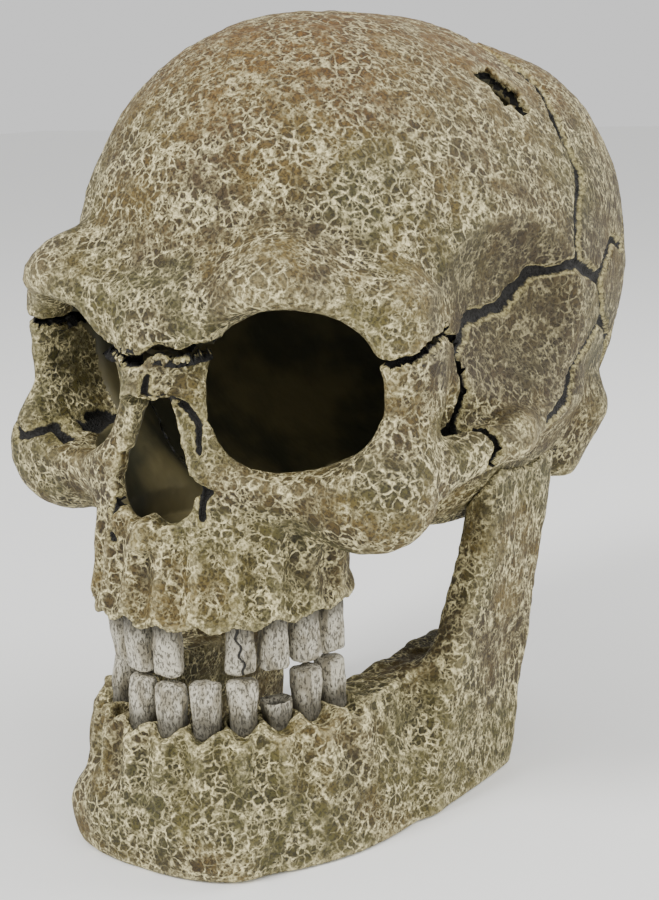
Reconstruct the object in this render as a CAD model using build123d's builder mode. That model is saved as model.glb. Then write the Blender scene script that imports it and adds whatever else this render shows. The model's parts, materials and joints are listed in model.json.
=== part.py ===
"""Hollow skull ornament for an aquarium, with the air fittings that make it bubble.

Millimetres. +Z is up, the face looks along -Y and +X is the skull's own left. The origin
lies on the tank floor, under the middle of the whole ornament.
"""

import math
import os

from build123d import *

# Casting
WALL = 5.0
CRANIUM = ((0, 6, 140), (72, 84, 80))  # centre and radii of the braincase
FRONTAL = ((0, -28, 148), (59, 58, 69))  # and of the narrower forehead
TEMPLE = ((100, -34, 136), (41, 44, 42))  # hollow behind each eye
CHEEK = ((51, -69, 101), (18, 16, 17))
BASE_RIM = 76.0  # open lower rim of the braincase
SEAM_TOP = 136.0  # seam between vault and face, across the eye openings
SEAM_BACK = -38.0  # and down the temples
REGION = 130.0  # reach of the blocks that cut regions apart

# Upper jaw, from the gum line to the brow: height, half width, front, back
UPPER_GUM = 66.0
UPPER_JAW = (
    (UPPER_GUM, 37, -102, -24),
    (84, 35, -97, -22),
    (100, 44, -94, -20),
    (118, 56, -91, -18),
    (138, 58, -88, -14),
)
PALATE_TOP = 80.0
PALATE_UNDER = 74.0

# Openings of the face
EYE_X = 32.0
EYE_Z = 126.0
EYE_RADII = (22.0, 20.0)
EYE_SPLAY = 12.0
NOSE_LOBE = (5.0, 100.0, 9.0)  # offset, height and radius of the two lower lobes
NOSE_TIP = (120.0, 6.0)  # height and radius of the top
CROWN_HOLE_AT = (50.0, 5.0, 197.5)
CROWN_HOLE_LEAN = 47.0  # degrees outward, square to the wall there
CROWN_HOLE = ((-7, -5), (-2, -9), (5, -4), (7, 3), (1, 8), (-4, 5))

# Teeth
TEETH_PER_SIDE = 6
ARCH_CENTRE = -54.0
ARCH_X = 30.0
ARCH_Y = 42.0
LOWER_GUM = 38.0
BITE = 50.5
BITE_GAP = 0.5
SOCKET_DEPTH = 5.0
SOCKET_GAP = 0.1
MISSING = (("upper", 1, 1), ("lower", -1, 1))
STUMP = ("lower", 1, 3)
STUMP_HEIGHT = 5.0

# Lower jaw
JAW_THICK = 16.0
JAW_FOOT = (48.0, 58.0, -48.0, 4.0)  # half width, length of the round, its centre, back
JAW_TOP = (42.0, 48.0, -54.0, -6.0)
RAMUS_X = 37.0
RAMUS_THICK = 12.0
RAMUS_LEAN = 5.0
PIN_RADIUS = 2.0
PIN_AT = (53.0, 12.0)
PIN_SPAN = (75.0, 90.0)
PIN_GAP = 0.05

# Air line
HOSE_OUTER = 3.0
HOSE_BORE = 2.05
STEM = 2.0
AIRWAY = 1.2
HOSE_OVERLAP = 10.0
INLET_Z = 138.0
BOSS_FACES = (82.0, 91.0)
BOSS_RADIUS = 10.0
GROMMET_HOLE = 5.0
GROMMET_FLANGE = (7.5, 1.5)
SHANK = 2.5
ELBOW_Y = 102.0
ELBOW_BALL = 4.0
NOZZLE = 2.4
NOZZLE_TOP = 20.0  # above the elbow's centre
STONE_RADIUS = 6.5
STONE_X = 13.0
STONE_FACES = (-72.0, -46.0)
CRADLE_THICK = 2.0
STONE_Z = PALATE_TOP + CRADLE_THICK + STONE_RADIUS
STONE_BORE = 12.0  # depth of the stem's hole
STEM_SHOULDER = 3.0
RUN_GAP = 0.05  # radial clearance of parts that turn or slide
HOSE_ROUTE = (
    (0, BOSS_FACES[0] - GROMMET_FLANGE[1] - 0.5, INLET_Z),
    (0, 50, INLET_Z),
    (47, 30, 99),
    (46, -10, 95),
    (STONE_X, -14, STONE_Z),
    (STONE_X, STONE_FACES[1] + STEM_SHOULDER, STONE_Z),
)
HOSE_BENDS = (14.0, 14.0, 14.0, 14.0)
CLIP_AT = ((47, 30, 99), (46, -10, 95))  # the clipped run of hose, and how far along it
CLIP_SHARES = (0.3, 0.58)
CLIP_LENGTH = 6.0
CLIP_RADIUS = 5.0


def save(solid, name):
    solid.label = name
    export_step(solid, f"parts/{name}.step")


def egg(centre_and_radii, grow=0.0, side=1):
    """An ellipsoid, grown or shrunk by a wall, on either side of the skull."""
    (x, y, z), radii = centre_and_radii
    with BuildPart(mode=Mode.PRIVATE) as shape:
        Sphere(1)
        scale(by=tuple(r + grow for r in radii))
    return shape.part.moved(Location((side * x, y, z)))


def bar(start, end, radius, side=1):
    """A round-ended bar between two points, on either side of the skull."""
    foot = Vector(side * start[0], *start[1:])
    way = Vector(side * end[0], *end[1:]) - foot
    with BuildPart(Plane(origin=foot, z_dir=way), mode=Mode.PRIVATE) as shape:
        Cylinder(radius, way.length, align=(Align.CENTER, Align.CENTER, Align.MIN))
        Sphere(radius)
        with Locations((0, 0, way.length)):
            Sphere(radius)
    return shape.part


def block(low, high):
    """A box between two corners."""
    with BuildPart(mode=Mode.PRIVATE) as shape:
        with Locations(low):
            Box(*(b - a for a, b in zip(low, high)), align=Align.MIN)
    return shape.part


def upper_jaw(grow, floor):
    """Ovals lofted from the gum line to the brow, or the hollow inside them."""
    with BuildPart(mode=Mode.PRIVATE) as shape:
        for height, half_width, front, back in UPPER_JAW:
            with BuildSketch(Plane.XY.offset(height)):
                with Locations((0, (front + back) / 2)):
                    Ellipse(half_width + grow, (back - front) / 2 + grow)
        loft()
        if floor > UPPER_GUM:
            add(block((-REGION, -REGION, 0), (REGION, REGION, floor)), mode=Mode.SUBTRACT)
    return shape.part


def skull_outside():
    with BuildPart() as outside:
        add(egg(CRANIUM))
        add(egg(FRONTAL))
        for side in (1, -1):
            add(egg(TEMPLE, side=side), mode=Mode.SUBTRACT)
        add(upper_jaw(0, 0))
        add(bar((0, -82, 146), (0, -91, 126), 7))  # bridge of the nose
        for side in (1, -1):
            add(bar((8, -86, 141), (34, -83, 150), 8, side))  # brow
            add(bar((33, -82, 149), (55, -62, 143), 7.5, side))
            add(bar((56, -62, 143), (58, -60, 106), 8, side))  # outer rim of the eye
            add(egg(CHEEK, side=side))
            add(bar((60, -54, 104), (68, -22, 107), 5.5, side))  # cheek arch
            add(bar((67, -24, 106.5), (62, 14, 112), 5.2, side))
            add(bar((56, 36, 104), (52, 34, 86), 9, side))  # bump behind the ear
        with BuildSketch(Plane.XZ.offset(-BOSS_FACES[1])):  # flat seat for the air inlet
            with Locations((0, INLET_Z)):
                Circle(BOSS_RADIUS)
        extrude(amount=BOSS_FACES[1] - BOSS_FACES[0])
    return outside.part


def skull_hollow():
    with BuildPart() as hollow:
        add(egg(CRANIUM, -WALL))
        add(egg(FRONTAL, -WALL))
        for side in (1, -1):
            add(egg(TEMPLE, WALL, side), mode=Mode.SUBTRACT)
        add(upper_jaw(-WALL, PALATE_TOP))
        with BuildSketch(Plane.XZ.offset(-BOSS_FACES[0])):
            with Locations((0, INLET_Z)):
                Circle(BOSS_RADIUS)
        extrude(amount=-WALL, mode=Mode.SUBTRACT)
    return hollow.part


def eye_opening(side):
    centre = Vector(side * EYE_X, -60, EYE_Z)
    outward = Vector(side * math.sin(math.radians(EYE_SPLAY)), -1, 0)
    with BuildPart(mode=Mode.PRIVATE) as opening:
        with BuildSketch(Plane(origin=centre, x_dir=(0, 0, 1), z_dir=outward)):
            Ellipse(EYE_RADII[1], EYE_RADII[0])
        extrude(amount=55)
    return opening.part


def nose_opening():
    with BuildPart(mode=Mode.PRIVATE) as opening:
        with BuildSketch(Plane.XZ.offset(60)):
            with Locations((NOSE_LOBE[0], NOSE_LOBE[1]), (-NOSE_LOBE[0], NOSE_LOBE[1])):
                Circle(NOSE_LOBE[2])
            with Locations((0, NOSE_TIP[0])):
                Circle(NOSE_TIP[1])
            make_hull()
        extrude(amount=50)
    return opening.part


def crown_hole():
    with BuildPart(mode=Mode.PRIVATE) as opening:
        lean = math.radians(CROWN_HOLE_LEAN)
        outward = (math.sin(lean), 0, math.cos(lean))
        with BuildSketch(Plane(CROWN_HOLE_AT, x_dir=(math.cos(lean), 0, -math.sin(lean)), z_dir=outward)):
            with BuildLine():
                Polyline(*CROWN_HOLE, close=True)
            make_face()
        extrude(amount=3 * WALL, both=True)
    return opening.part


def mouth_roof():
    """Space under the palate, inside the row of teeth and open behind it."""
    half_width, depth = ARCH_X - 7, ARCH_Y - 7
    with BuildPart(mode=Mode.PRIVATE) as space:
        with BuildSketch(Plane.XY.offset(UPPER_GUM - 1)):
            with Locations((0, ARCH_CENTRE)):
                Ellipse(half_width, depth)
            with Locations((0, ARCH_CENTRE)):
                Rectangle(2 * half_width, 60, align=(Align.CENTER, Align.MIN))
        extrude(amount=PALATE_UNDER - UPPER_GUM + 1)
    return space.part


def round_hole(origin, direction, radius, length):
    """A round solid along a line, to cut a hole or to add a stem."""
    with BuildPart(Plane(origin=origin, z_dir=direction), mode=Mode.PRIVATE) as shape:
        Cylinder(radius, length, align=(Align.CENTER, Align.CENTER, Align.MIN))
    return shape.part


def tooth_turns():
    """Angles that space the teeth evenly along the arch, from the midline back."""
    steps = 2000
    step = math.radians(90) / steps
    along = [0.0]
    for i in range(steps):
        turn = step * (i + 0.5)
        along.append(along[-1] + step * math.hypot(ARCH_X * math.cos(turn), ARCH_Y * math.sin(turn)))
    pitch = along[-1] / TEETH_PER_SIDE
    wanted = [pitch * (number + 0.5) for number in range(TEETH_PER_SIDE)]
    return pitch, [step * next(i for i, s in enumerate(along) if s >= w) for w in wanted]


TOOTH_PITCH, TOOTH_TURNS = tooth_turns()
NECK = (TOOTH_PITCH * 0.37, 3.9)  # half width and half depth at the gum
CROWN = (TOOTH_PITCH * 0.44, 3.3)  # and at the biting edge
PLACES = [(row, side, n) for row in ("upper", "lower") for side in (1, -1) for n in range(TEETH_PER_SIDE)]


def tooth_plane(side, number, height):
    """Level plane on the dental arch, its X along the row of teeth."""
    turn = side * TOOTH_TURNS[number]
    x = ARCH_X * math.sin(turn)
    y = ARCH_CENTRE - ARCH_Y * math.cos(turn)
    along = (ARCH_X * math.cos(turn), ARCH_Y * math.sin(turn), 0)
    return Plane(origin=(x, y, height), x_dir=along, z_dir=(0, 0, 1))


def socket(row, side, number):
    gum, inward = (UPPER_GUM, 1) if row == "upper" else (LOWER_GUM, -1)
    with BuildPart(mode=Mode.PRIVATE) as pocket:
        with BuildSketch(tooth_plane(side, number, gum)):
            Ellipse(NECK[0] + SOCKET_GAP, NECK[1] + SOCKET_GAP)
        extrude(amount=inward * SOCKET_DEPTH)
    return pocket.part


def tooth(row, side, number):
    """A peg in its socket, and a crown that widens towards the bite."""
    gum, inward = (UPPER_GUM, 1) if row == "upper" else (LOWER_GUM, -1)
    edge, end = BITE + inward * BITE_GAP, CROWN
    if (row, side, number) == STUMP:
        edge, end = gum - inward * STUMP_HEIGHT, NECK
    with BuildPart() as peg:
        with BuildSketch(tooth_plane(side, number, gum)):
            Ellipse(*NECK)
        extrude(amount=inward * SOCKET_DEPTH)
        with BuildSketch(tooth_plane(side, number, gum)):
            Ellipse(*NECK)
        with BuildSketch(tooth_plane(side, number, edge)):
            Ellipse(*end)
        loft()
    return peg.part


def horseshoe(sketch_plane, half_width, length, centre, back):
    """Half an oval with straight sides running back, as a closed outline."""
    with BuildSketch(sketch_plane, mode=Mode.PRIVATE) as outline:
        with Locations((0, centre)):
            Ellipse(half_width, length)
        with Locations((0, centre)):
            Rectangle(2 * half_width, 2 * length, align=(Align.CENTER, Align.MIN), mode=Mode.SUBTRACT)
        with Locations((0, centre)):
            Rectangle(2 * half_width, back - centre, align=(Align.CENTER, Align.MIN))
    return outline.sketch


def horseshoe_block(inset, low, high):
    """The jaw's outline lofted from its foot to the gum line, inset by its thickness."""
    with BuildPart(mode=Mode.PRIVATE) as shape:
        for height, (half_width, length, centre, back) in ((low, JAW_FOOT), (high, JAW_TOP)):
            reach = back + (inset > 0)
            add(horseshoe(Plane.XY.offset(height), half_width - inset, length - inset, centre, reach))
        loft()
    return shape.part


def ramus(side):
    """Upright plate at the back of the jaw, up to the joint under the braincase."""
    lean = math.radians(RAMUS_LEAN)
    outward = Vector(math.cos(lean), 0, -math.sin(lean))
    with BuildPart(mode=Mode.PRIVATE) as plate:
        with BuildSketch(Plane(origin=(RAMUS_X, 0, 0), x_dir=(0, 1, 0), z_dir=outward)):
            with BuildLine():
                Polyline((-34, 2), (4, 2), (10, 12), (22, 84), (20, 100), (8, 100))
                Spline((8, 100), (0, 84), (-12, 86))
                Spline((-12, 86), (-20, 60), (-34, 34))
                Line((-34, 34), (-34, 2))
            make_face()
        extrude(amount=RAMUS_THICK)
    solid = plate.part
    return solid if side > 0 else solid.mirror(Plane.YZ)


def hose_clip(share):
    """Saddle that stands on the wall and holds the hose on its clipped run."""
    start, end = (Vector(*p) for p in CLIP_AT)
    way = (end - start).normalized()
    middle = start + (end - start) * share
    outward = Vector(1, 0, -0.75)
    with BuildPart() as clip:
        with BuildSketch(Plane(origin=middle, x_dir=outward, z_dir=way)):
            Circle(CLIP_RADIUS)
            Rectangle(20, 2 * CLIP_RADIUS, align=(Align.MIN, Align.CENTER))
            Circle(HOSE_OUTER + SOCKET_GAP, mode=Mode.SUBTRACT)
        extrude(amount=CLIP_LENGTH / 2, both=True)
        add(hollow, mode=Mode.INTERSECT)
    return clip.part


os.makedirs("parts", exist_ok=True)

# Skull casting, before it is parted along its seam
outside = skull_outside()
hollow = skull_hollow()
with BuildPart() as casting:
    add(outside)
    add(hollow, mode=Mode.SUBTRACT)
    add(block((-REGION, SEAM_BACK, 0), (REGION, REGION, BASE_RIM)), mode=Mode.SUBTRACT)
    add(mouth_roof(), mode=Mode.SUBTRACT)
    add(nose_opening(), mode=Mode.SUBTRACT)
    add(crown_hole(), mode=Mode.SUBTRACT)
    add(round_hole((0, BOSS_FACES[0] - WALL, INLET_Z), (0, 1, 0), GROMMET_HOLE, 30), mode=Mode.SUBTRACT)
    for side in (1, -1):
        add(eye_opening(side), mode=Mode.SUBTRACT)
        pin_foot = (side * PIN_AT[0], PIN_AT[1], PIN_SPAN[0])
        add(
            round_hole(pin_foot, (0, 0, 1), PIN_RADIUS + PIN_GAP, PIN_SPAN[1] - PIN_SPAN[0]),
            mode=Mode.SUBTRACT,
        )
    for row, side, number in PLACES:
        if row == "upper":
            add(socket(row, side, number), mode=Mode.SUBTRACT)

face_region = block((-REGION, -REGION, 0), (REGION, SEAM_BACK, SEAM_TOP))
with BuildPart() as vault:
    add(casting.part)
    add(face_region, mode=Mode.SUBTRACT)
save(vault.part, "vault_casting")

with BuildPart() as face:
    add(casting.part)
    add(face_region, mode=Mode.INTERSECT)
save(face.part, "face_casting")

# Lower jaw
with BuildPart() as jaw:
    add(horseshoe_block(0, 0, LOWER_GUM))
    add(horseshoe_block(JAW_THICK, -0.01, LOWER_GUM + 0.01), mode=Mode.SUBTRACT)
    for side in (1, -1):
        add(ramus(side))
    add(outside, mode=Mode.SUBTRACT)
    for side in (1, -1):
        pin_foot = (side * PIN_AT[0], PIN_AT[1], PIN_SPAN[0])
        add(
            round_hole(pin_foot, (0, 0, 1), PIN_RADIUS + PIN_GAP, PIN_SPAN[1] - PIN_SPAN[0]),
            mode=Mode.SUBTRACT,
        )
    for row, side, number in PLACES:
        if row == "lower":
            add(socket(row, side, number), mode=Mode.SUBTRACT)
save(jaw.part, "lower_jaw")

# Teeth
for place in PLACES:
    if place not in MISSING:
        row, side, number = place
        hand = "left" if side > 0 else "right"
        save(tooth(*place), f"{row}_tooth_{hand}_{number + 1}")

# Steel pins that carry the jaw under the braincase
for side, hand in ((1, "left"), (-1, "right")):
    foot = (side * PIN_AT[0], PIN_AT[1], PIN_SPAN[0])
    save(round_hole(foot, (0, 0, 1), PIN_RADIUS, PIN_SPAN[1] - PIN_SPAN[0]), f"jaw_pin_{hand}")

# Air inlet: rubber grommet in the wall, and an elbow that turns in it
flange_radius, flange = GROMMET_FLANGE
INNER_FACE = BOSS_FACES[0] - flange
OUTER_FACE = BOSS_FACES[1] + flange
with BuildPart() as grommet:
    add(round_hole((0, INNER_FACE, INLET_Z), (0, 1, 0), flange_radius, flange))
    add(round_hole((0, BOSS_FACES[0], INLET_Z), (0, 1, 0), GROMMET_HOLE, BOSS_FACES[1] - BOSS_FACES[0]))
    add(round_hole((0, BOSS_FACES[1], INLET_Z), (0, 1, 0), flange_radius, flange))
    bore = round_hole((0, INNER_FACE, INLET_Z), (0, 1, 0), SHANK + RUN_GAP, OUTER_FACE - INNER_FACE)
    add(bore, mode=Mode.SUBTRACT)
save(grommet.part, "inlet_grommet")

STEM_END = HOSE_ROUTE[0][1] - HOSE_OVERLAP
with BuildPart() as elbow:
    add(round_hole((0, STEM_END, INLET_Z), (0, 1, 0), STEM, INNER_FACE - STEM_END))
    add(round_hole((0, INNER_FACE, INLET_Z), (0, 1, 0), SHANK, ELBOW_Y - INNER_FACE))
    add(round_hole((0, OUTER_FACE + RUN_GAP, INLET_Z), (0, 1, 0), ELBOW_BALL, 2))
    with Locations((0, ELBOW_Y, INLET_Z)):
        Sphere(ELBOW_BALL)
    add(round_hole((0, ELBOW_Y, INLET_Z), (0, 0, 1), NOZZLE, NOZZLE_TOP))
    add(round_hole((0, STEM_END, INLET_Z), (0, 1, 0), AIRWAY, ELBOW_Y - STEM_END), mode=Mode.SUBTRACT)
    add(round_hole((0, ELBOW_Y, INLET_Z), (0, 0, 1), AIRWAY, NOZZLE_TOP), mode=Mode.SUBTRACT)
save(elbow.part, "inlet_elbow")

# Hose along the inside of the wall, in straight runs and arcs
with BuildPart() as hose:
    with BuildLine() as line:
        FilletPolyline(*HOSE_ROUTE, radius=HOSE_BENDS)
    with BuildSketch(Plane(origin=HOSE_ROUTE[0], z_dir=(0, -1, 0))):
        Circle(HOSE_OUTER)
        Circle(HOSE_BORE, mode=Mode.SUBTRACT)
    sweep()
save(hose.part, "air_hose")
print("hose length, mm:", round(sum(edge.length for edge in line.edges()), 1))
for number, share in enumerate(CLIP_SHARES, 1):
    save(hose_clip(share), f"hose_clip_{number}")

# Air stone in its saddle on the palate, pushed onto a stem at the end of the hose
stone_front, stone_back = STONE_FACES
with BuildPart() as stem:
    add(round_hole((STONE_X, stone_back - STONE_BORE + 1, STONE_Z), (0, 1, 0), STEM, STONE_BORE - 1))
    add(round_hole((STONE_X, stone_back, STONE_Z), (0, 1, 0), HOSE_OUTER, STEM_SHOULDER))
    add(round_hole((STONE_X, stone_back + STEM_SHOULDER, STONE_Z), (0, 1, 0), STEM, HOSE_OVERLAP))
    reach = STONE_BORE - 1 + STEM_SHOULDER + HOSE_OVERLAP
    tip = (STONE_X, stone_back - STONE_BORE + 1, STONE_Z)
    add(round_hole(tip, (0, 1, 0), AIRWAY, reach), mode=Mode.SUBTRACT)
save(stem.part, "stone_stem")

with BuildPart() as stone:
    add(round_hole((STONE_X, stone_front, STONE_Z), (0, 1, 0), STONE_RADIUS, stone_back - stone_front))
    fillet(stone.faces().sort_by(Axis.Y)[0].edges(), 3)
    mouth = (STONE_X, stone_back - STONE_BORE, STONE_Z)
    hole = round_hole(mouth, (0, 1, 0), STEM + RUN_GAP, STONE_BORE)
    add(hole, mode=Mode.SUBTRACT)
save(stone.part, "air_stone")

with BuildPart() as cradle:
    with BuildSketch(Plane.XZ.offset(-stone_back + 4)):
        with Locations((STONE_X, PALATE_TOP)):
            Rectangle(2 * STONE_RADIUS + 4, 7, align=(Align.CENTER, Align.MIN))
        with Locations((STONE_X, STONE_Z)):
            Circle(STONE_RADIUS + RUN_GAP, mode=Mode.SUBTRACT)
    extrude(amount=14)
save(cradle.part, "stone_cradle")
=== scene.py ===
# %% [markdown]
# # A hollow resin skull for an aquarium
#
# The ornament is a thin-walled casting in polyresin: a resin filled with stone powder, poured into a rubber
# mould and slushed round so that it sets as a shell of about 5 mm. A painter then washes it with olive brown
# and dry-brushes cream paint over the raised crackle. Air comes in at the back and rises from a stone
# behind the nose opening.
#
# This script builds what is seen: the three castings, the teeth that are glued into them, and the finish.
# Everything is in metres in the end, in the frame of the CAD model, but the shapes are described in
# millimetres, because that is how such a model is drawn.

# %% Start: the CAD frame and the tools
import json
import math

import bmesh
import bpy
import numpy as np
import openvdb
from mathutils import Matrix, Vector

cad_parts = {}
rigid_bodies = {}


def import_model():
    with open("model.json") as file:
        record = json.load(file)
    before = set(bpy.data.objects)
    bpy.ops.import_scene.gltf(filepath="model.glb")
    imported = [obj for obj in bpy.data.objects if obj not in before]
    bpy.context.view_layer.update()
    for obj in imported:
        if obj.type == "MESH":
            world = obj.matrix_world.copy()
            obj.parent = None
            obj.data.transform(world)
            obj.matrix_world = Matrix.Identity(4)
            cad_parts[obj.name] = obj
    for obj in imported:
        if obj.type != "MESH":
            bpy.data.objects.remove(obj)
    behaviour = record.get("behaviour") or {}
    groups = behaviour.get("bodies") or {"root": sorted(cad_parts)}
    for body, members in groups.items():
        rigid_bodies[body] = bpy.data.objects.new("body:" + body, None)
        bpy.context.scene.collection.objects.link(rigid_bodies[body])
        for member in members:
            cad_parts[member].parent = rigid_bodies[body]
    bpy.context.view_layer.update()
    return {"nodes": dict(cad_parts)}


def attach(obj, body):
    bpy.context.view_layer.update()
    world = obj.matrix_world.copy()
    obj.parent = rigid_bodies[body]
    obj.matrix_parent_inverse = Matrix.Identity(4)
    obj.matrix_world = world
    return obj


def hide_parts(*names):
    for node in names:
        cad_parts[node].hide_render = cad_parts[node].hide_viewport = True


for old in list(bpy.data.objects):
    bpy.data.objects.remove(old)
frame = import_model()
nodes = frame["nodes"]


MM = 0.001

# %% [markdown]
# ## Shapes as distances
#
# Bone has no flat faces and no sharp joins, so the castings are drawn as a distance: a function that says how
# far a point is from the surface, negative inside. Two shapes are joined by taking the smaller distance, and a
# blend radius rounds the corner between them, as clay does under a thumb. The same functions serve one
# point or millions, because every coordinate is a NumPy array.

# %% Distance functions, in millimetres
def egg(x, y, z, centre, radii, grow=0.0):
    """Distance to an ellipsoid, exact on its surface and close to it elsewhere."""
    a, b, c = (r + grow for r in radii)
    u, v, w = x - centre[0], y - centre[1], z - centre[2]
    near = np.sqrt((u / a) ** 2 + (v / b) ** 2 + (w / c) ** 2)
    slope = np.sqrt((u / a**2) ** 2 + (v / b**2) ** 2 + (w / c**2) ** 2)
    return near * (near - 1) / np.maximum(slope, 1e-6)


def bar(x, y, z, start, end, r0, r1):
    """Distance to a round-ended bar whose radius goes from r0 to r1."""
    way = [e - s for s, e in zip(start, end)]
    u, v, w = x - start[0], y - start[1], z - start[2]
    t = np.clip((u * way[0] + v * way[1] + w * way[2]) / sum(c * c for c in way), 0, 1)
    away = np.sqrt((u - t * way[0]) ** 2 + (v - t * way[1]) ** 2 + (w - t * way[2]) ** 2)
    return away - (r0 + t * (r1 - r0))


def join(a, b, k):
    """The nearer of two shapes, with a fillet of about k."""
    h = np.clip(0.5 + 0.5 * (b - a) / k, 0, 1)
    return b * (1 - h) + a * h - k * h * (1 - h)


def cut(a, b, k):
    """What is left of a after b is taken away, its new edge rounded by about k."""
    return -join(-a, b, k)


def step(value, low, high):
    """0 below low, 1 above high, smooth between them."""
    t = np.clip((value - low) / (high - low), 0, 1)
    return t * t * (3 - 2 * t)

# %% [markdown]
# ## Roughness that repeats each time
#
# Noise is a lattice of random numbers, blended smoothly between its points. A fixed seed makes every run the
# same, and the cell size in millimetres says what it stands for: 13 mm for the swell of the bone, 6 mm for
# the sculptor's tool marks, 2 or 3 mm for the grain.

# %% Seeded noise
def noise(x, y, z, cell, seed):
    """Smooth noise from -1 to 1 with lumps about one cell across."""
    table = np.random.default_rng(seed).uniform(-1, 1, 4096).astype(np.float32)
    low, part = [], []
    for v in (x, y, z):
        v = np.asarray(v, dtype=np.float32) / cell + 64
        whole = np.floor(v)
        low.append(whole.astype(np.int64))
        t = v - whole
        part.append(t * t * (3 - 2 * t))
    total = 0
    for i in (0, 1):
        for j in (0, 1):
            for k in (0, 1):
                key = (low[0] + i) * 73856093 ^ (low[1] + j) * 19349663 ^ (low[2] + k) * 83492791
                weight = (
                    (part[0] if i else 1 - part[0])
                    * (part[1] if j else 1 - part[1])
                    * (part[2] if k else 1 - part[2])
                )
                total = total + weight * table[(key >> 3) & 4095]
    return total

# %% [markdown]
# ## The skull
#
# Two overlapping eggs make the braincase and the narrower forehead. A third, taken away at each temple,
# leaves the hollow where the jaw muscle would lie and the sharp ridge round it. Bars and smaller eggs add the
# brow, the outer rim of the eye, the cheekbone and the arch that runs back from it. The left and right halves
# are alike, so most shapes use the distance from the middle plane, and only the damage differs.

# %% The outside of the skull
CRANIUM = ((0, 6, 140), (71, 83, 78.5))
FRONTAL = ((0, -28, 148), (59, 57, 68))
TEMPLE = ((113, -30, 140), (56, 58, 48))
INLET_Z = 138.0
WALL = 5.0
UPPER_GUM = 66.0
JAW_HEIGHTS = (60, 66, 76, 88, 100, 118, 138)
JAW_WIDTHS = (35, 36, 34.5, 35, 42, 55, 58)
JAW_FRONTS = (-100.5, -101.5, -99, -96.5, -94, -90.5, -88)
JAW_BACKS = (-32, -30, -28, -26, -24, -20, -16)
ARCH_CENTRE, ARCH_X, ARCH_Y, TEETH_PER_SIDE = -54.0, 30.0, 42.0, 6


def arch_run():
    """Angles round the dental arch and the length of arch up to each, from the middle back."""
    turns = np.linspace(0, math.pi / 2, 2001)
    middle = (turns[1:] + turns[:-1]) / 2
    steps = np.hypot(ARCH_X * np.cos(middle), ARCH_Y * np.sin(middle)) * (turns[1] - turns[0])
    return turns, np.concatenate([[0], np.cumsum(steps)])


TURNS, RUNS = arch_run()
PITCH = RUNS[-1] / TEETH_PER_SIDE


def root_ridges(x, y):
    """1 over each tooth's root and 0 between roots, all along the arch."""
    turn = np.arctan2(np.abs(x) / ARCH_X, -(y - ARCH_CENTRE) / ARCH_Y)
    run = np.interp(np.clip(turn, 0, math.pi / 2), TURNS, RUNS)
    return 0.5 - 0.5 * np.cos(2 * math.pi * run / PITCH)


def upper_jaw(x, y, z, grow=0.0):
    """Ovals stacked from the gum line to the brow."""
    half = np.interp(z, JAW_HEIGHTS, JAW_WIDTHS) + grow
    front = np.interp(z, JAW_HEIGHTS, JAW_FRONTS) - grow
    back = np.interp(z, JAW_HEIGHTS, JAW_BACKS) + grow
    middle, deep = (front + back) / 2, (back - front) / 2
    near = np.sqrt((x / half) ** 2 + ((y - middle) / deep) ** 2)
    side = (near - 1) * np.minimum(half, deep)
    return np.maximum(side, np.maximum(z - 146 - grow, 56 - z))


def skull_outside(x, y, z):
    ax = np.abs(x)
    d = join(egg(x, y, z, *CRANIUM), egg(x, y, z, *FRONTAL), 16)
    d = join(d, egg(ax, y, z, (30, 40, 150), (34, 42, 54)), 10)  # swell of the back
    d = cut(d, egg(ax, y, z, *TEMPLE), 2.5)
    jaw = upper_jaw(ax, y, z)
    fade = step(z, 66, 70) * (1 - step(z, 84, 100))
    jaw = jaw - 2.6 * (root_ridges(x, y) - 0.6) * fade
    d = join(d, jaw, 7)
    d = join(d, bar(ax, y, z, (2, -84, 142), (34, -82, 151), 9.5, 8.5), 15)  # brow
    d = join(d, bar(ax, y, z, (34, -82, 151), (55, -63, 145), 8.5, 7.5), 12)
    d = join(d, egg(ax, y, z, (57, -60, 127), (7.5, 12, 26)), 8)  # outer rim
    d = join(d, bar(ax, y, z, (54, -68, 106), (20, -84, 103), 8, 5), 10)  # lower rim
    d = join(d, egg(ax, y, z, (50, -69, 99), (18, 13, 15)), 12)  # cheekbone
    d = cut(d, egg(ax, y, z, (27, -106, 98), (9, 13, 12)), 9)
    d = join(d, bar(ax, y, z, (60, -54, 103), (67, -22, 107), 6.5, 5), 6)  # arch
    d = join(d, bar(ax, y, z, (67, -24, 107), (62, 14, 112), 5, 6), 5)
    d = join(d, bar(ax, y, z, (56, 34, 104), (52, 32, 89), 10, 7), 7)  # bump behind the ear
    d = join(d, bar(x, y, z, (0, -86, 144), (0, -96, 122), 7, 5.5), 7)  # bridge of the nose
    d = join(d, bar(x, y, z, (0, -96, 92), (0, -99, 87), 3, 2.5), 4)  # spine under it
    return d

# %% [markdown]
# The eye openings are rounded squares that lean outward, the nose is a pear with a chipped edge, and the
# inside is the same two eggs drawn one wall smaller. The skull is open from below, as slush castings
# are, so that fish can swim through it and air can get in.

# %% The openings and the hollow
EYE_X, EYE_Z, EYE_RADII, EYE_SPLAY = 32.0, 126.0, (22.0, 20.0), math.radians(12)
PALATE_TOP, PALATE_UNDER = 80.0, 74.0
MOUTH_HALF, MOUTH_DEEP = 23, 35
BASE_RIM = 76.0
HOLE_X, HOLE_Y, HOLE_Z, HOLE_LEAN, HOLE_RADIUS = 50, 6, 197.5, math.radians(47), 7.4


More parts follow.
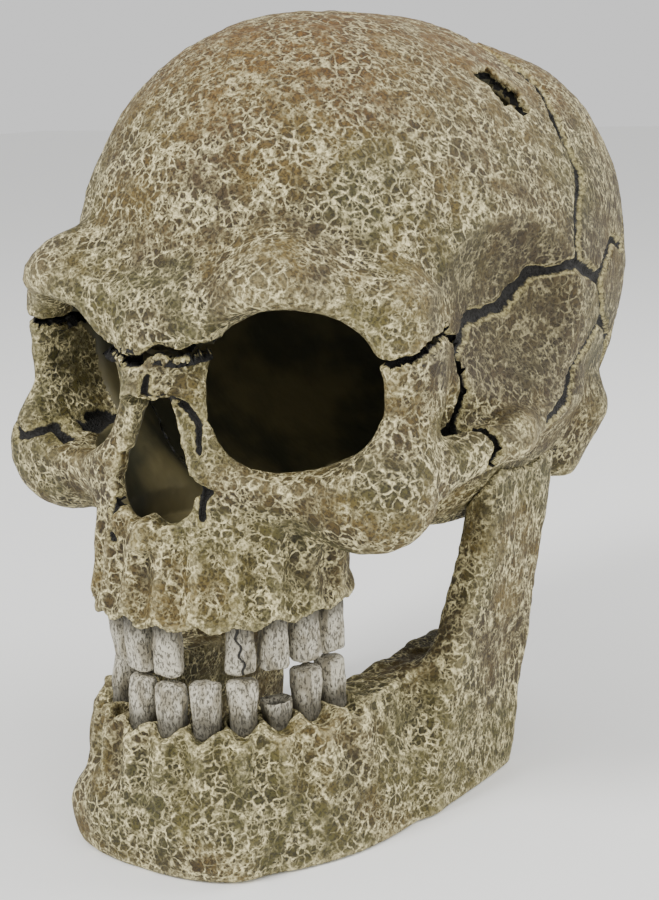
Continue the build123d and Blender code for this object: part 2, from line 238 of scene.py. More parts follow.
def eye_opening(ax, y, z):
    along = -(y + 60) * math.cos(EYE_SPLAY) + (ax - EYE_X) * math.sin(EYE_SPLAY)
    across = (ax - EYE_X) * math.cos(EYE_SPLAY) + (y + 60) * math.sin(EYE_SPLAY)
    flare = 1 + np.clip(along - 16, 0, 30) * 0.008
    u, v = across / (EYE_RADII[0] * flare), (z - EYE_Z) / (EYE_RADII[1] * flare)
    near = (np.abs(u) ** 2.3 + np.abs(v) ** 2.3) ** (1 / 2.3)
    return np.maximum((near - 1) * 20, -along - 2)


def nose_opening(x, y, z):
    ax = np.abs(x)
    d = bar(ax, 0, z, (5.0, 0, 100), (0, 0, 119), 8.6, 6.2)
    d = d + 0.9 * noise(x, y * 0.3, z, 4.5, 11) + 0.5 * noise(x, y * 0.3, z, 2.2, 12)
    return np.maximum(d, y + 60)


def crown_hole(x, y, z):
    """Ragged hole square to the wall where it goes through."""
    u, v, w = x - HOLE_X, y - HOLE_Y, z - HOLE_Z
    across = u * math.cos(HOLE_LEAN) - w * math.sin(HOLE_LEAN)
    along = u * math.sin(HOLE_LEAN) + w * math.cos(HOLE_LEAN)
    turn = np.arctan2(v, across)
    ragged = 1.5 * np.sin(2 * turn + 0.6) + 1.2 * np.sin(5 * turn) + 0.7 * np.sin(9 * turn + 2)
    return np.maximum(np.hypot(across, v) - HOLE_RADIUS - ragged, -3 * WALL - along)


def skull_inside(x, y, z):
    ax = np.abs(x)
    d = join(egg(x, y, z, *CRANIUM, -WALL), egg(x, y, z, *FRONTAL, -WALL), 12)
    d = cut(d, egg(ax, y, z, *TEMPLE, WALL), 8)
    room = np.maximum(upper_jaw(ax, y, z, -WALL), PALATE_TOP - z)
    d = join(d, room, 5)
    boss = np.maximum(np.hypot(x, z - INLET_Z) - 10, 82 - y)
    return cut(d, boss, 1)


def mouth_roof(x, y, z):
    ax = np.abs(x)
    near = np.sqrt((ax / MOUTH_HALF) ** 2 + (np.minimum(y - ARCH_CENTRE, 0) / MOUTH_DEEP) ** 2)
    return np.maximum((near - 1) * MOUTH_HALF, z - PALATE_UNDER)


def socket(x, y, z, side, number, level, depth):
    """Round-bottomed hole in the gum for one tooth."""
    turn = np.interp(PITCH * (number + 0.5), RUNS, TURNS)
    cx, cy = side * ARCH_X * math.sin(turn), ARCH_CENTRE - ARCH_Y * math.cos(turn)
    c, s = math.cos(side * turn), math.sin(side * turn)
    along = (x - cx) * c + (y - cy) * s
    across = -(x - cx) * s + (y - cy) * c
    half, deep = PITCH * 0.43, 4.3
    near = np.sqrt((along / half) ** 2 + (across / deep) ** 2 + ((z - level) / depth) ** 2)
    return (near - 1) * 4

# %% [markdown]
# ## Where the castings meet
#
# The moulds part along a line that the painter turned into a deep crack: across the bridge of the nose,
# through both eye openings, and down each temple. One wavering function says on which side of the crack a
# point lies, and both castings keep 0.4 mm away from it, which leaves the dark gap.

# %% The seam and the two upper castings
GAP = 0.4


def seam(x, y, z):
    """Negative on the face's side of the crack."""
    waver = 4.2 * noise(x, y, z, 17, 21) + 1.7 * noise(x, y, z, 6, 22) + 0.6 * noise(x, y, z, 2.4, 23)
    top = z - 136 + waver
    back = y + 38 + waver
    return np.maximum(top, back)


def skull(x, y, z):
    d = cut(skull_outside(x, y, z), skull_inside(x, y, z), 1.2)
    d = cut(d, eye_opening(np.abs(x), y, z), 4)
    d = cut(d, nose_opening(x, y, z), 1.5)
    d = cut(d, mouth_roof(x, y, z), 2)
    return d


def vault(x, y, z):
    d = skull(x, y, z)
    d = cut(d, crown_hole(x, y, z), 0.8)
    d = np.maximum(d, BASE_RIM + 0.8 * noise(x, y, z, 7, 31) - z)
    inlet = np.hypot(x, z - INLET_Z)
    seat = np.maximum(inlet - 10, np.maximum(82 - y, y - 91))
    d = join(d, seat, 1.5)
    d = cut(d, np.maximum(inlet - 5, 70 - y), 0.2)
    d = cut(d, np.maximum(inlet - 9.5, 91 - y), 0.2)
    return np.maximum(d, GAP - seam(x, y, z))


def face(x, y, z):
    d = skull(x, y, z)
    scallop = 1.6 * root_ridges(x, y) + 0.6 * noise(x, y, z, 4, 32)
    d = np.maximum(d, UPPER_GUM - 0.6 + scallop - z)
    for side in (1, -1):
        for number in range(TEETH_PER_SIDE):
            d = cut(d, socket(x, y, z, side, number, UPPER_GUM - 1, 7), 0.8)
    return np.maximum(d, seam(x, y, z) + GAP)

# %% [markdown]
# The lower jaw is a horseshoe with a foot wider than its top, so that the ornament stands on it. At the back
# a broad plate rises on each side to meet the braincase. In the real mould this was one piece, because
# the whole weight of the ornament rests on it.

# %% The lower jaw
JAW_BAND = ((0, 48, 58, -48), (14, 46.5, 56.5, -49), (38, 41, 47.5, -54))


def band(ax, y, z, inset):
    levels = [row[0] for row in JAW_BAND]
    half, deep, middle = (np.interp(z, levels, [row[i] for row in JAW_BAND]) for i in (1, 2, 3))
    half, deep = half - inset, deep - inset
    near = np.sqrt((ax / half) ** 2 + (np.minimum(y - middle, 0) / deep) ** 2)
    return (near - 1) * half


def lower_jaw(x, y, z):
    ax = np.abs(x)
    ridge = 2.4 * (root_ridges(x, y) - 0.6) * step(z, 16, 26) * (1 - step(z, 36, 38))
    d = band(ax, y, z, 0) - ridge
    d = join(d, egg(ax, y, z, (14, -96, 9), (17, 8, 12)), 8)  # chin
    top = 38.4 - 3.2 * root_ridges(x, y) + 0.9 * noise(x, y, z, 4, 41)
    d = -join(-d, -(np.maximum(z - top, y - 2)), 1.5)
    plate = np.abs(ax - (43.5 + 0.087 * z)) - 5.4 + 0.5 * noise(x, y, z, 11, 42)
    front_edge = np.interp(z, (0, 34, 60, 76, 86, 100), (-40, -34, -21, -15, -13, -13))
    back_edge = np.interp(z, (0, 12, 84, 100), (3, 10, 22, 21))
    span = np.maximum(front_edge - y, y - back_edge)
    branch = -join(-plate, -span, 5)
    d = join(d, branch, 9)
    inner = band(ax, y, z, 16)
    inner = np.maximum(inner, y - 30)
    d = cut(d, inner, 3)
    d = cut(d, skull_outside(x, y, z) - 0.25, 0.3)
    for side in (1, -1):
        for number in range(TEETH_PER_SIDE):
            d = cut(d, socket(x, y, z, side, number, 39, 8), 0.8)
    return -join(-d, z, 1.2)

# %% [markdown]
# ## From distance to mesh
#
# OpenVDB walks a grid of distances and lays a net of quads where they change sign. Each
# corner is then pulled onto the true surface, and only after that pushed out or in by the fine relief.

# %% Meshing
def slopes(shape, p, h=0.25):
    """Distance at each point and the direction in which it grows."""
    x, y, z = p.T
    here = shape(x, y, z)
    grow = np.stack(
        [
            shape(x + h, y, z) - shape(x - h, y, z),
            shape(x, y + h, z) - shape(x, y - h, z),
            shape(x, y, z + h) - shape(x, y, z - h),
        ],
        axis=1,
    ) / (2 * h)
    return here, grow / np.maximum(np.linalg.norm(grow, axis=1, keepdims=True), 1e-6)


def quads(shape, low, high, pitch):
    """Corners and quads of a shape between two corners of space, all in millimetres."""
    axes = [np.arange(a, b + pitch, pitch, dtype=np.float32) for a, b in zip(low, high)]
    x, y, z = axes[0][:, None, None], axes[1][None, :, None], axes[2][None, None, :]
    field = np.empty([len(a) for a in axes], dtype=np.float32)
    for i in range(0, len(axes[0]), 16):
        field[i : i + 16] = shape(x[i : i + 16], y, z)
    grid = openvdb.FloatGrid(background=3.0)
    grid.copyFromArray(np.clip(field, -3, 3))
    points, faces = grid.convertToQuads(isovalue=0.0)
    points = points * pitch + np.array(low)
    for _ in range(2):
        away, way = slopes(shape, points)
        points = points - way * np.clip(away, -0.5, 0.5)[:, None]
    return points, faces[:, ::-1]

# %% [markdown]
# ## Cracks
#
# The sculptor scored the clay with a tool, so each crack is a jagged line pressed about two millimetres into
# the surface. Each one is drawn on a flat projection, from the side, the front or the top, and a little
# noise bends it. The distance to the nearest crack is kept on the mesh, because paint pools there and goes
# nearly black.

# %% Crack lines
SIDE, FRONT, TOP = (1, 2), (0, 2), (0, 1)
CRACKS = (
    (SIDE, 1, ((24, 210), (28, 196), (22, 184), (24, 174), (13, 162), (9, 150))),
    (SIDE, 1, ((9, 150), (-6, 147), (-16, 139), (-27, 139), (-37, 131))),
    (SIDE, 1, ((9, 150), (24, 143), (30, 130), (43, 122), (46, 108), (40, 96))),
    (SIDE, 1, ((30, 130), (16, 124), (4, 112), (-8, 108))),
    (SIDE, 1, ((43, 122), (56, 128), (66, 120), (80, 124))),
    (SIDE, 1, ((24, 143), (38, 152), (50, 150), (62, 158))),
    (SIDE, -1, ((-8, 202), (2, 186), (-4, 172), (6, 158), (0, 144), (-12, 136), (-26, 138), (-36, 131))),
    (SIDE, -1, ((6, 158), (22, 150), (34, 152), (48, 140), (66, 142))),
    (FRONT, 1, ((4, 131), (6, 124), (13, 118), (14, 111))),
    (FRONT, 1, ((12, 104), (17, 100), (16, 94))),
    (FRONT, -1, ((-66, 110), (-58, 106), (-50, 110), (-43, 106))),
    (FRONT, -1, ((-11, 96), (-15, 91), (-13, 86))),
    (TOP, 1, ((40, 25), (30, 24), (22, 33), (12, 30), (-2, 42), (-14, 40), (-26, 50))),
)


def to_line(u, v, line):
    """Distance on a flat drawing from each point to a broken line."""
    best = np.full(u.shape, 9.0)
    for (a, b), (c, d) in zip(line, line[1:]):
        du, dv = c - a, d - b
        t = np.clip(((u - a) * du + (v - b) * dv) / (du * du + dv * dv), 0, 1)
        best = np.minimum(best, np.hypot(u - a - t * du, v - b - t * dv))
    return best


def crack_distance(p):
    x, y, z = p.T
    bend = [1.5 * noise(x, y, z, 6, 51 + i) + 0.6 * noise(x, y, z, 2.4, 61 + i) for i in range(3)]
    q = (x + bend[0], y + bend[1], z + bend[2])
    best = np.maximum(np.abs(seam(x, y, z)) - GAP, 0) + 0.25
    for (i, j), hand, line in CRACKS:
        reach = to_line(q[i], q[j], line)
        if (i, j) == SIDE:
            reach = np.where(x * hand > 18, 0.75 * reach, 9)
        elif (i, j) == FRONT:
            reach = np.where((y < -50) & (x * hand > -6), reach, 9)
        else:
            reach = np.where(z > 150, reach, 9)
        best = np.minimum(best, reach)
    return np.minimum(best, 6)

# %% [markdown]
# ## A casting's mesh
#
# Dry-brushing leaves cream paint on whatever stands proud and misses what lies deep. So the mesh carries a
# second number for each corner: how far it stands out from a copy of itself that has been smoothed.

# %% Building a casting
def neighbours_mean(values, faces, rounds):
    """Values averaged over neighbouring corners, several times over."""
    a = np.concatenate([faces[:, i] for i in range(4)])
    b = np.concatenate([faces[:, (i + 1) % 4] for i in range(4)])
    count = np.maximum(np.bincount(a, minlength=len(values)), 1)[:, None]
    for _ in range(rounds):
        total = [np.bincount(a, weights=values[b, i], minlength=len(values)) for i in range(values.shape[1])]
        values = np.stack(total, axis=1) / count
    return values


def mesh_object(name, points, faces, facts, materials, inner=None):
    """A Blender object from corners in millimetres, with a number for each corner per fact."""
    mesh = bpy.data.meshes.new(name)
    mesh.vertices.add(len(points))
    mesh.vertices.foreach_set("co", (points * MM).astype(np.float32).ravel())
    mesh.loops.add(faces.size)
    mesh.loops.foreach_set("vertex_index", faces.astype(np.int32).ravel())
    mesh.polygons.add(len(faces))
    mesh.polygons.foreach_set("loop_start", np.arange(0, faces.size, faces.shape[1], dtype=np.int32))
    for material in materials:
        mesh.materials.append(material)
    if inner is not None:
        mesh.polygons.foreach_set("material_index", inner.astype(np.int32))
    mesh.update(calc_edges=True)
    mesh.validate()
    mesh.shade_smooth()
    for fact, values in facts.items():
        layer = mesh.attributes.new(fact, "FLOAT", "POINT")
        layer.data.foreach_set("value", values.astype(np.float32))
    thing = bpy.data.objects.new(name, mesh)
    bpy.context.scene.collection.objects.link(thing)
    return thing


def casting(name, shape, low, high, pitch, materials, inside=None):
    """Mesh, relief and paint masks of one casting. Only the skull, which has an inside, is cracked."""
    points, faces = quads(shape, low, high, pitch)
    away, out = slopes(shape, points)
    x, y, z = points.T
    smooth = neighbours_mean(points, faces, 12)
    smoother = neighbours_mean(smooth, faces, 50)
    proud = np.einsum("ij,ij->i", points - smooth, out)
    bulge = np.einsum("ij,ij->i", points - smoother, out)
    carved = 1 - step(np.abs(egg(np.abs(x), y, z, *TEMPLE)), 0.6, 2.0)
    flank = step(np.abs(out[:, 0]), 0.6, 0.95) * (1 - step(z, 150, 185)) * step(y, -30, -5)
    shaded = np.maximum(carved, 0.7 * flank) if inside is not None else 0 * x
    hidden = np.zeros(len(points)) if inside is None else 1 - step(inside(x, y, z), 0.6, 1.6)
    crack = np.full(len(points), 6.0) if inside is None else crack_distance(points)
    if shape is vault:  # the ragged hole's wall is painted nearly black, as painted shade inside the hole
        wall = (1 - step(np.abs(crown_hole(x, y, z)), 0.8, 1.8)) * step(-skull_outside(x, y, z), 0.6, 1.8)
        crack = np.minimum(crack, 6 * (1 - wall) + 0.9 * wall)
    swell = 0.45 * noise(x, y, z, 13, 71) + 0.32 * noise(x, y, z, 6, 72)
    grain = 0.2 * noise(x, y, z, 2.8, 73) + 0.12 * noise(x, y, z, 1.6, 74)
    lift = (swell + grain) * (1 - 0.85 * hidden) * (1 - 0.3 * shaded)
    lift = lift - 2.4 * (1 - step(crack, 0.4, 1.9)) * (1 - hidden)
    foot = step(z, 0.0, 1.5) if low[2] < 0 else 1.0
    points = points + out * (lift * foot)[:, None]
    inner = hidden[faces].mean(axis=1) > 0.5
    streak = step(y, -30, 0) if inside is None else step(y, 4, 26) * step(np.abs(x), 25, 50)
    facts = {"crack": crack, "proud": proud, "bulge": bulge, "shaded": shaded, "streak": streak}
    thing = mesh_object(name, points, faces, facts, materials, inner)
    print(name, len(faces), "quads")
    return thing

# %% [markdown]
# ## Paint
#
# The materials are named for what they are. Colours are given as sRGB hex and turned into linear light by
# one function. Pattern sizes come from real sizes: crackle cells of about 3.4 mm, a finer net of 1.4 mm, and
# specks under 1 mm. On the flanks the cells are drawn out, as the brush pulled them.

# %% Material tools
def linear(hex_colour):
    """sRGB hex to linear RGBA."""
    values = [int(hex_colour[i : i + 2], 16) / 255 for i in (1, 3, 5)]
    return [v / 12.92 if v <= 0.04045 else ((v + 0.055) / 1.055) ** 2.4 for v in values] + [1.0]


def new_material(name, colour, roughness, ior=1.5, metallic=0.0):
    material = bpy.data.materials.new(name)
    material.use_nodes = True
    shader = material.node_tree.nodes["Principled BSDF"]
    shader.inputs["Base Color"].default_value = linear(colour)
    shader.inputs["Roughness"].default_value = roughness
    shader.inputs["IOR"].default_value = ior
    shader.inputs["Metallic"].default_value = metallic
    return material, material.node_tree, shader


def add(tree, kind, inputs=(), **settings):
    """A node with its settings, each input a value or another node's output."""
    node = tree.nodes.new(kind)
    for key, value in settings.items():
        setattr(node, key, value)
    for key, value in dict(inputs).items():
        if isinstance(value, bpy.types.NodeSocket):
            tree.links.new(value, node.inputs[key])
        else:
            node.inputs[key].default_value = value
    return node


def maths(tree, what, a, b=0.0, c=0.0, clamp=False):
    return add(tree, "ShaderNodeMath", {0: a, 1: b, 2: c}, operation=what, use_clamp=clamp).outputs[0]


def times(tree, a, b):
    return maths(tree, "MULTIPLY", a, b)


def ramp(tree, value, low, high, out_low=0.0, out_high=1.0):
    """Value from low..high mapped smoothly onto out_low..out_high."""
    inputs = {"Value": value, "From Min": low, "From Max": high, "To Min": out_low, "To Max": out_high}
    return add(tree, "ShaderNodeMapRange", inputs, interpolation_type="SMOOTHSTEP").outputs["Result"]


def blend(tree, factor, a, b):
    """Colour a turned into colour b by a factor."""
    node = add(tree, "ShaderNodeMix", {"Factor": factor}, data_type="RGBA")
    for key, value in (("A_Color", a), ("B_Color", b)):
        socket_in = next(s for s in node.inputs if s.identifier == key)
        if isinstance(value, bpy.types.NodeSocket):
            tree.links.new(value, socket_in)
        else:
            socket_in.default_value = linear(value)
    return next(s for s in node.outputs if s.identifier == "Result_Color")


def millimetres(tree):
    """Object coordinates in millimetres."""
    where = add(tree, "ShaderNodeTexCoord").outputs["Object"]
    return add(tree, "ShaderNodeVectorMath", {0: where, "Scale": 1000.0}, operation="SCALE").outputs[0]


def lumps(tree, where, size, detail=2.0, rough=0.5):
    inputs = {"Vector": where, "Scale": 1 / size, "Detail": detail, "Roughness": rough}
    return add(tree, "ShaderNodeTexNoise", inputs).outputs["Fac"]


def warped(tree, where, size, amount):
    """Coordinates pushed about by noise, so that a pattern's cells lose their straight sides."""
    inputs = {"Vector": where, "Scale": 1 / size, "Detail": 2.0}
    push = add(tree, "ShaderNodeTexNoise", inputs).outputs["Color"]
    middle = add(tree, "ShaderNodeVectorMath", {0: push, 1: (0.5, 0.5, 0.5)}, operation="SUBTRACT").outputs[0]
    far = add(tree, "ShaderNodeVectorMath", {0: middle, "Scale": 2 * amount}, operation="SCALE").outputs[0]
    return add(tree, "ShaderNodeVectorMath", {0: where, 1: far}, operation="ADD").outputs[0]


def net(tree, where, size):
    """Distance from the edges of a net of random cells, in cells."""
    inputs = {"Vector": where, "Scale": 1 / size, "Randomness": 1.0}
    return add(tree, "ShaderNodeTexVoronoi", inputs, feature="DISTANCE_TO_EDGE").outputs["Distance"]


def fact(tree, name):
    return add(tree, "ShaderNodeAttribute", attribute_name=name).outputs["Fac"]

# %% Painted resin
def painted_resin():
    material, tree, shader = new_material("polyresin, painted bone", "#7a735a", 0.72)
    mm = millimetres(tree)
    drawn = add(tree, "ShaderNodeVectorMath", {0: mm, 1: (1.0, 1.0, 0.38)}, operation="MULTIPLY").outputs[0]
    round_net = net(tree, warped(tree, mm, 2.6, 1.6), 3.4)
    long_net = net(tree, warped(tree, drawn, 1.6, 0.9), 2.3)
    streak = fact(tree, "streak")
    coarse = add(tree, "ShaderNodeMix", {"Factor": streak, "A": round_net, "B": long_net}).outputs["Result"]
    fine = net(tree, warped(tree, mm, 1.0, 0.6), 1.35)
    broken = ramp(tree, lumps(tree, mm, 1.1, 2.0), 0.34, 0.58, 0.2, 1.0)
    shaded = fact(tree, "shaded")
    bare = maths(tree, "SUBTRACT", 1.0, times(tree, shaded, 0.65))
    where_coarse = ramp(tree, lumps(tree, mm, 8), 0.38, 0.62, 0.15, 1.0)
    where_fine = ramp(tree, lumps(tree, mm, 4), 0.40, 0.66, 0.0, 0.75)
    vein = times(tree, ramp(tree, coarse, 0.13, 0.02), where_coarse)
    thread = times(tree, ramp(tree, fine, 0.22, 0.03), where_fine)
    raised = maths(tree, "ADD", vein, times(tree, thread, 0.75), clamp=True)
    raised = times(tree, times(tree, raised, bare), broken)
    height_mm = add(tree, "ShaderNodeSeparateXYZ", {0: mm}).outputs["Z"]
    raised = times(tree, raised, ramp(tree, height_mm, 180.0, 210.0, 1.0, 0.65))
    # Painted shadow: a dark band beside each cream vein, as if the raised veins cast shade.
    painted_vein_shadow = times(tree, ramp(tree, coarse, 0.36, 0.16), where_coarse)
    painted_vein_shadow = maths(tree, "MAXIMUM", painted_vein_shadow, times(tree, ramp(tree, fine, 0.50, 0.25), where_fine))
    specks = ramp(tree, lumps(tree, mm, 0.8, 3.0, 0.65), 0.48, 0.64)
    shade = ramp(tree, lumps(tree, mm, 20, 3.0), 0.36, 0.64)
    hue = ramp(tree, lumps(tree, mm, 34, 2.0), 0.42, 0.62)
    base = blend(tree, shade, "#3f3110", "#604e1c")
    base = blend(tree, times(tree, hue, 0.5), base, "#4a4d1e")
    base = blend(tree, ramp(tree, height_mm, 170.0, 215.0, 0.0, 0.6), base, "#734f14")
    base = blend(tree, times(tree, painted_vein_shadow, 0.55), base, "#211806")
    base = blend(tree, times(tree, specks, 0.6), base, "#1d1708")
    high = times(tree, ramp(tree, fact(tree, "proud"), 0.15, 0.9), broken)
    # Painted shade: broad hollows, which lie below the smoothed copy of the mesh, are darkened.
    deep = ramp(tree, fact(tree, "bulge"), 0.0, -3.0)
    base = blend(tree, times(tree, deep, 0.75), base, "#211b0c")
    base = blend(tree, times(tree, shaded, 0.5), base, "#2c2313")
    pale = maths(tree, "ADD", times(tree, raised, 0.95), times(tree, high, 0.3), clamp=True)
    colour = blend(tree, pale, base, "#ecdfa8")
    edge = maths(tree, "ADD", fact(tree, "crack"), times(tree, lumps(tree, mm, 1.2), 0.7))
    rim = times(tree, times(tree, ramp(tree, edge, 2.3, 1.8), broken), 0.55)
    colour = blend(tree, rim, colour, "#d2c58a")
    dark = ramp(tree, edge, 1.65, 1.3)
    colour = blend(tree, dark, colour, "#0f0c06")
    tree.links.new(colour, shader.inputs["Base Color"])
    height = maths(tree, "ADD", times(tree, raised, 0.6), times(tree, specks, -0.25))
    height = maths(tree, "SUBTRACT", height, times(tree, dark, 0.8))
    bump = add(tree, "ShaderNodeBump", {"Height": height, "Distance": MM, "Strength": 1.0})
    tree.links.new(bump.outputs["Normal"], shader.inputs["Normal"])
    return material


def inner_wash():
    material, tree, shader = new_material("polyresin, thin inner wash", "#4d4a33", 0.62)
    mm = millimetres(tree)
    colour = blend(tree, ramp(tree, lumps(tree, mm, 22, 3.0), 0.35, 0.65), "#3f3e2c", "#6a6140")
    tree.links.new(colour, shader.inputs["Base Color"])
    bump = add(tree, "ShaderNodeBump", {"Height": lumps(tree, mm, 6), "Distance": 0.6 * MM, "Strength": 1.0})
    tree.links.new(bump.outputs["Normal"], shader.inputs["Normal"])
    return material


def tooth_paint():
    material, tree, shader = new_material("polyresin, painted tooth", "#b5b0a0", 0.6)
    mm = millimetres(tree)
    tall = add(tree, "ShaderNodeVectorMath", {0: mm, 1: (1.0, 1.0, 0.42)}, operation="MULTIPLY").outputs[0]
    pits = ramp(tree, lumps(tree, tall, 0.55, 3.0, 0.65), 0.50, 0.63)
    stain = ramp(tree, lumps(tree, tall, 3.0, 3.0), 0.40, 0.66)
    colour = blend(tree, times(tree, stain, 0.75), "#bdb7a4", "#6f664e")
    colour = blend(tree, times(tree, pits, 0.8), colour, "#3a352a")
    neck = ramp(tree, fact(tree, "neck"), 0.05, 0.95)
    colour = blend(tree, times(tree, neck, 0.8), colour, "#2e2a1e")
    dark = ramp(tree, fact(tree, "crack"), 0.5, 0.2)
    colour = blend(tree, dark, colour, "#15120b")
    tree.links.new(colour, shader.inputs["Base Color"])
    height = maths(tree, "ADD", times(tree, pits, -0.25), times(tree, dark, -0.6))
    bump = add(tree, "ShaderNodeBump", {"Height": height, "Distance": MM, "Strength": 1.0})
    tree.links.new(bump.outputs["Normal"], shader.inputs["Normal"])
    return material


resin, wash, enamel = painted_resin(), inner_wash(), tooth_paint()

# %% The three castings
vault_piece = casting("vault", vault, (-77, -98, 72), (77, 94, 224), 1.15, (resin, wash), skull_inside)
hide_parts("vault_casting")
face_piece = casting("face", face, (-76, -108, 60), (76, -30, 146), 0.95, (resin, wash), skull_inside)
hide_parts("face_casting")
jaw_piece = casting("jaw", lower_jaw, (-66, -110, -3), (66, 28, 104), 1.0, (resin, wash))
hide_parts("lower_jaw")
for piece in (vault_piece, face_piece, jaw_piece):
    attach(piece, "skull")

# %% [markdown]
# ## Teeth
#
# Each tooth is a peg glued into its own hole. It is drawn as rings from the root to the biting edge. The
# rings are ovals that widen towards the bite, and each tooth gets its own small differences in width,
# length and lean.

# %% Tooth pegs
LOWER_GUM, BITE = 38.0, 50.5
MISSING = {("upper", 1, 1), ("lower", -1, 1)}
STUMP = ("lower", 1, 3)
CRACKED = ("upper", 1, 2)


def tooth_rings(length, width, depth, edge_depth, stump):
    """Half width, half depth and height of each ring, from the root's end to the bite."""
    t = np.linspace(0, 1, 44)
    along = t * length
    belly = 0.92 + 0.16 * step(t, 0.35, 0.85)
    thin = 1 - (1 - edge_depth) * step(t, 0.45, 1.0)
    root_end = np.sqrt(np.clip(1 - ((0.16 - np.minimum(t, 0.16)) / 0.17) ** 2, 0.0, 1))
    close = np.sqrt(np.clip(1 - (np.maximum(along - length + 1.3, 0) / 1.32) ** 2, 0.0, 1))
    if stump:
        close = np.ones_like(t)
    half_w = width * belly * root_end * (0.55 + 0.45 * close)
    half_d = depth * thin * root_end * (0.35 + 0.65 * close)
    height = along.copy()
    if stump:
        inside = np.linspace(1, 0, 12)[1:]
        half_w = np.concatenate([half_w, half_w[-1] * (0.25 + 0.5 * inside)])
        half_d = np.concatenate([half_d, half_d[-1] * (0.25 + 0.5 * inside)])
        height = np.concatenate([height, length - 3.5 * np.sqrt(1 - inside**2)])
    return half_w, half_d, height


def tooth(row, side, number):
    seed = (0 if row == "upper" else 50) + (20 if side > 0 else 0) + number
    rng = np.random.default_rng(100 + seed)
    gum, up = (UPPER_GUM, -1) if row == "upper" else (LOWER_GUM, 1)
    stump = (row, side, number) == STUMP
    root = 4.6
    reach = abs(gum - BITE) - 0.45 - rng.uniform(0, 0.5)
    length = root + (4.6 if stump else reach)
    blunt = 0.62 if number < 3 else 0.9
    width = PITCH * (0.415 if row == "upper" else 0.40) * rng.uniform(0.95, 1.04)
    half_w, half_d, height = tooth_rings(length, width, 3.9, blunt, stump)
    around = np.linspace(0, 2 * math.pi, 56, endpoint=False)
    c, s = np.cos(around), np.sin(around)
    square = (np.abs(c) ** 2.7 + np.abs(s) ** 2.7) ** (-1 / 2.7)
    u = half_w[:, None] * (c * square)[None, :]
    v = half_d[:, None] * (s * square)[None, :]
    w = np.repeat(height[:, None], 56, axis=1)
    lean = rng.uniform(-0.03, 0.03)
    u = u + lean * (w - root)
    turn = side * float(np.interp(PITCH * (number + 0.5), RUNS, TURNS))
    cx, cy = ARCH_X * math.sin(turn), ARCH_CENTRE - ARCH_Y * math.cos(turn)
    spin = turn + rng.uniform(-0.06, 0.06)
    x = cx + u * math.cos(spin) - v * math.sin(spin)
    y = cy + u * math.sin(spin) + v * math.cos(spin)
    z = gum + up * (w - root)
    points = np.stack([x.ravel(), y.ravel(), z.ravel()], axis=1)
    rows, cols = len(height), 56
    index = np.arange(rows * cols).reshape(rows, cols)
    faces = np.stack(
        [index[:-1], np.roll(index, -1, axis=1)[:-1], np.roll(index, -1, axis=1)[1:], index[1:]], axis=-1
    ).reshape(-1, 4)
    if up < 0:
        faces = faces[:, ::-1]
    middle = np.stack([np.full(rows, cx), np.full(rows, cy)], axis=1).repeat(cols, axis=0)
    out = points[:, :2] - middle
    out = out / np.maximum(np.linalg.norm(out, axis=1, keepdims=True), 0.5)
    x, y, z = points.T
    bumps = 0.22 * noise(x, y, z, 3.0, seed) + 0.12 * noise(x, y, z / 3, 0.9, seed + 1)
    points[:, :2] += out * bumps[:, None]
    near_bite = step(height, root + 0.6 * (length - root), length).repeat(cols)
    points[:, 2] += 0.35 * noise(*points.T, 1.6, seed + 2) * near_bite
    neck = 1 - np.clip((w.ravel() - root) / 6.5, 0, 1)
    if stump:
        neck = np.maximum(neck, (np.arange(rows) > 44).repeat(cols) * 1.0)
    crack = np.full(len(points), 9.0)
    if (row, side, number) == CRACKED:
        wave = 2.2 * (height - root) / (length - root) - 1.3 + 0.5 * np.sin(height * 1.3)
        crack = np.where(v < 0, np.abs(u - wave[:, None]), 9.0).ravel()
    name = f"{row}_tooth_{'left' if side > 0 else 'right'}_{number + 1}"
    piece = mesh_object(name + "_look", points, faces, {"neck": neck, "crack": crack}, (enamel,))
    shell = bmesh.new()
    shell.from_mesh(piece.data)
    bmesh.ops.holes_fill(shell, edges=[e for e in shell.edges if e.is_boundary], sides=0)
    shell.to_mesh(piece.data)
    shell.free()
    piece.data.shade_smooth()
    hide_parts(name)
    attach(piece, "skull")
    return piece


teeth = [
    tooth(row, side, number)
    for row in ("upper", "lower")
    for side in (1, -1)
    for number in range(TEETH_PER_SIDE)
    if (row, side, number) not in MISSING
]
print(len(teeth), "teeth")

# %% [markdown]
# ## Air fittings
#
# These are bought parts: a moulded elbow and stem in clear plastic, a rubber grommet, silicone hose, and a
# sintered stone. The CAD shapes are already right, so they keep them and only get the right materials.

# %% Materials of the fittings
steel = new_material("stainless steel pin", "#a8a8a8", 0.3, metallic=1.0)[0]
rubber = new_material("nitrile rubber, black", "#1c1c1c", 0.6, 1.52)[0]
plastic = new_material("nylon, black", "#1f1f1f", 0.45, 1.53)[0]


def clear(name, colour, roughness, ior, through):
    material, tree, shader = new_material(name, colour, roughness, ior)
    shader.inputs["Transmission Weight"].default_value = through
    return material


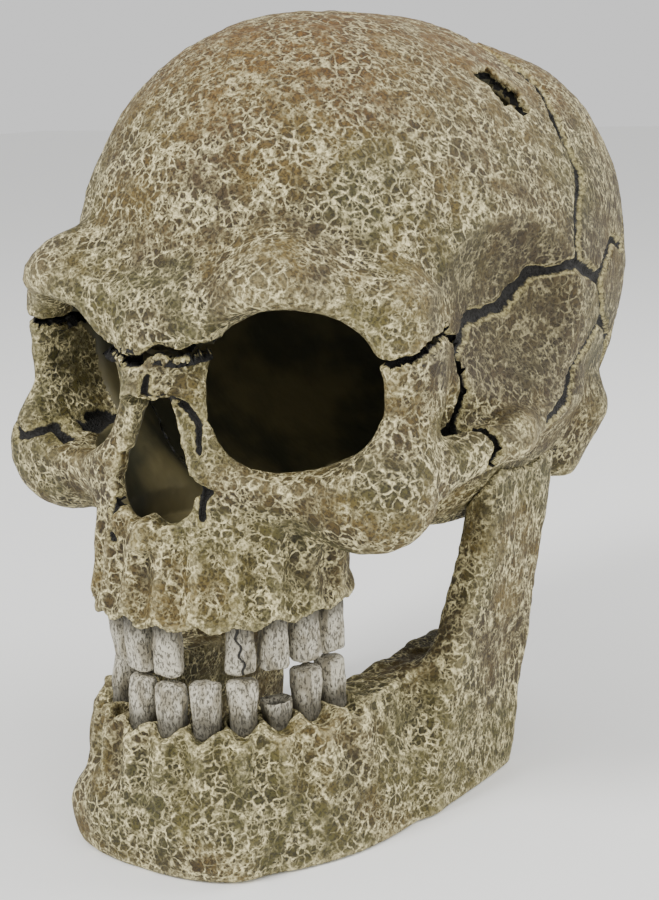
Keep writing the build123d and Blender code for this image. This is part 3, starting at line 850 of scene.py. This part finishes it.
acrylic = clear("polystyrene, clear moulded", "#dfe5e2", 0.12, 1.59, 0.6)
silicone = clear("silicone hose, milky", "#c9cfc8", 0.35, 1.41, 0.35)
stone, tree, shader = new_material("sintered mineral air stone", "#6f7f92", 0.95)
mm = millimetres(tree)
grit = lumps(tree, mm, 0.6, 3.0, 0.7)
tree.links.new(blend(tree, ramp(tree, grit, 0.4, 0.62), "#4c5a6b", "#8f9cab"), shader.inputs["Base Color"])
rough = add(tree, "ShaderNodeBump", {"Height": grit, "Distance": 0.5 * MM, "Strength": 1.0})
tree.links.new(rough.outputs["Normal"], shader.inputs["Normal"])
FITTINGS = {
    "jaw_pin_left": steel,
    "jaw_pin_right": steel,
    "inlet_grommet": rubber,
    "inlet_elbow": acrylic,
    "air_hose": silicone,
    "hose_clip_1": plastic,
    "hose_clip_2": plastic,
    "stone_stem": acrylic,
    "stone_cradle": plastic,
    "air_stone": stone,
}
for name, material in FITTINGS.items():
    nodes[name].data.materials.clear()
    nodes[name].data.materials.append(material)

# %% [markdown]
# ## The picture
#
# The photograph was taken a little above the ornament and to its left, in soft light on white.

# %% Floor, light and camera
bpy.ops.mesh.primitive_plane_add(size=8, location=(0, 0, -0.0002))
floor = bpy.context.object
floor.name = "floor"
floor.data.materials.append(new_material("studio floor", "#f4f4f2", 0.8)[0])

world = bpy.data.worlds.new("studio")
bpy.context.scene.world = world
world.use_nodes = True
world.node_tree.nodes["Background"].inputs["Color"].default_value = (1, 1, 1, 1)
world.node_tree.nodes["Background"].inputs["Strength"].default_value = 0.9


def lamp(name, place, aim, size, watts):
    light = bpy.data.lights.new(name, "AREA")
    light.shape = "DISK"
    light.size = size
    light.energy = watts
    thing = bpy.data.objects.new(name, light)
    bpy.context.scene.collection.objects.link(thing)
    thing.location = place
    thing.rotation_euler = (Vector(aim) - Vector(place)).to_track_quat("-Z", "Y").to_euler()
    return thing


lamp("key", (-0.25, -0.9, 1.0), (0, 0, 0.1), 0.45, 14)
lamp("fill", (0.9, -0.35, 0.45), (0, 0, 0.1), 0.8, 4)
lamp("rim", (0.6, 0.6, 0.7), (0, 0, 0.12), 0.6, 6)

AZIMUTH, ELEVATION, DISTANCE, LENS, ROLL = 35.0, 13.0, 0.50, 67.3, -2.0
AIM = Vector((-0.002, -0.010, 0.0930))
camera = bpy.data.objects.new("camera", bpy.data.cameras.new("camera"))
bpy.context.scene.collection.objects.link(camera)
a, e = math.radians(AZIMUTH), math.radians(ELEVATION)
away = Vector((math.sin(a) * math.cos(e), -math.cos(a) * math.cos(e), math.sin(e)))
camera.location = AIM + away * DISTANCE
camera.rotation_euler = (-away).to_track_quat("-Z", "Y").to_euler()
camera.rotation_euler.rotate_axis("Z", math.radians(ROLL))
camera.data.lens = LENS
camera.data.sensor_width = 36.0
bpy.context.scene.camera = camera
